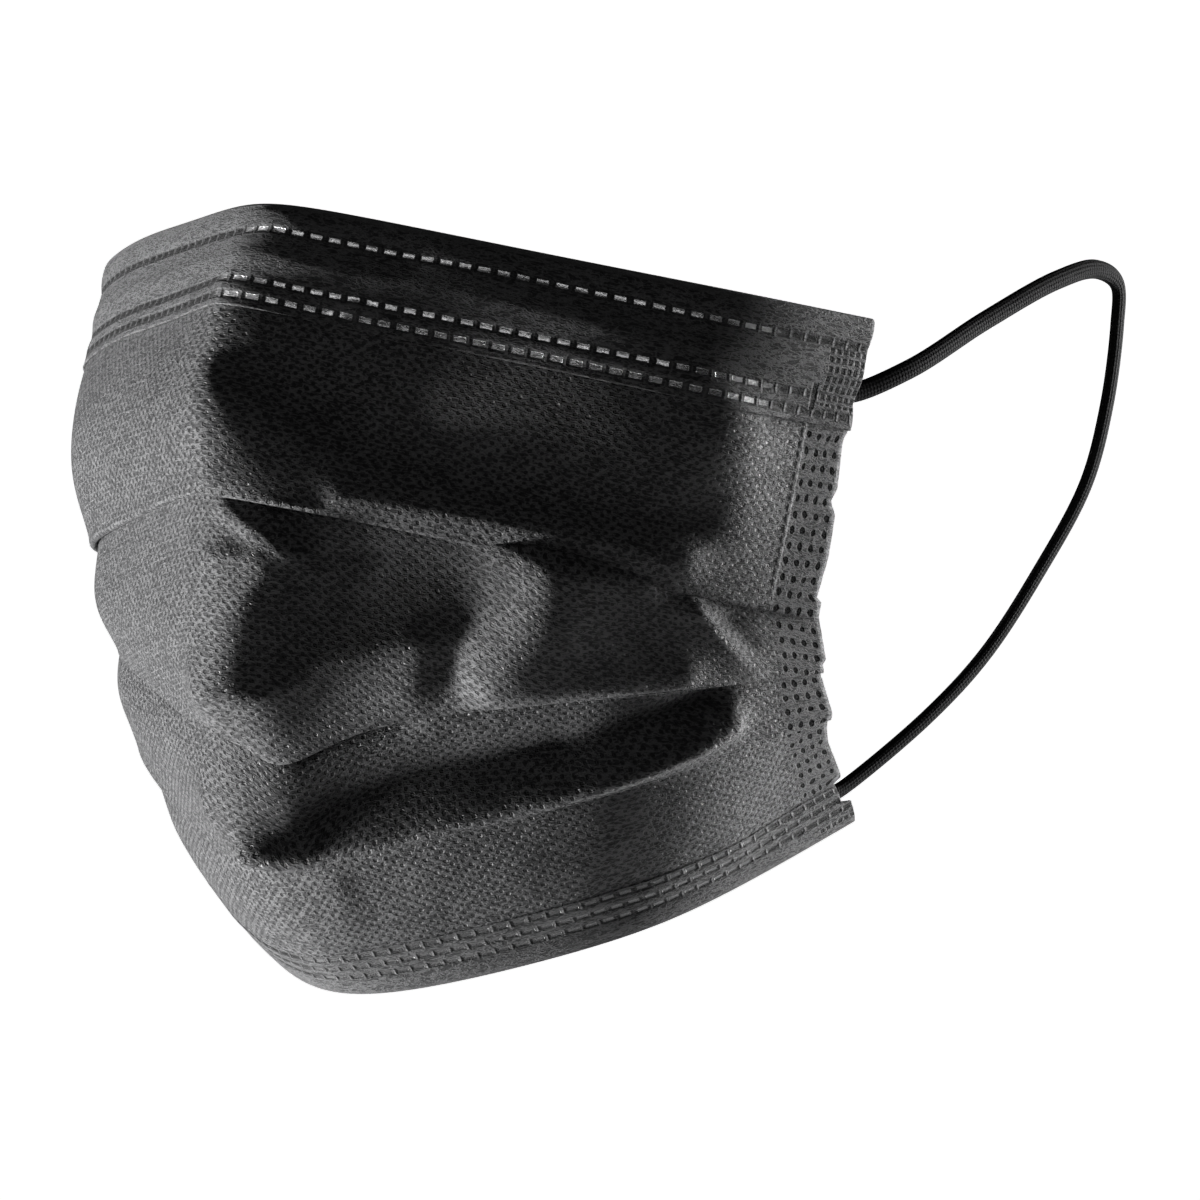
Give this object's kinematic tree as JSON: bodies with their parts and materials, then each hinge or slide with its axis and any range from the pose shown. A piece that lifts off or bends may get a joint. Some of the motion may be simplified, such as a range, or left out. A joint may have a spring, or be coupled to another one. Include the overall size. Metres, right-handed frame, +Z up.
{
  "type": "disposable face mask",
  "caption": "Pleated three-ply disposable face mask in its worn form, open at the back, with a folded hem at top and bottom, welded side seams and elastic ear loops.",
  "frame": {"origin": "where the mask rests on the bridge of the nose: the middle of the top hem, on its inner face", "axes": "+Z up the wearer's face, -Y out of the face, +X to the wearer's left"},
  "size_m": [0.1388, 0.1214, 0.1122],
  "materials": {
    "outer_cloth": "spunbond nonwoven, matt with a slight sheen",
    "hem_cloth": "smooth nonwoven, slightly fuzzy",
    "welded_cloth": "nonwoven pressed flat by the weld",
    "elastic": "knitted elastic"
  },
  "bodies": {
    "root": {"pleated_body": "outer_cloth", "top_hem": "hem_cloth", "bottom_hem": "hem_cloth", "side_seam_left": "welded_cloth", "side_seam_right": "welded_cloth", "ear_loop_left": "elastic", "ear_loop_right": "elastic"}
  },
  "joints": []
}
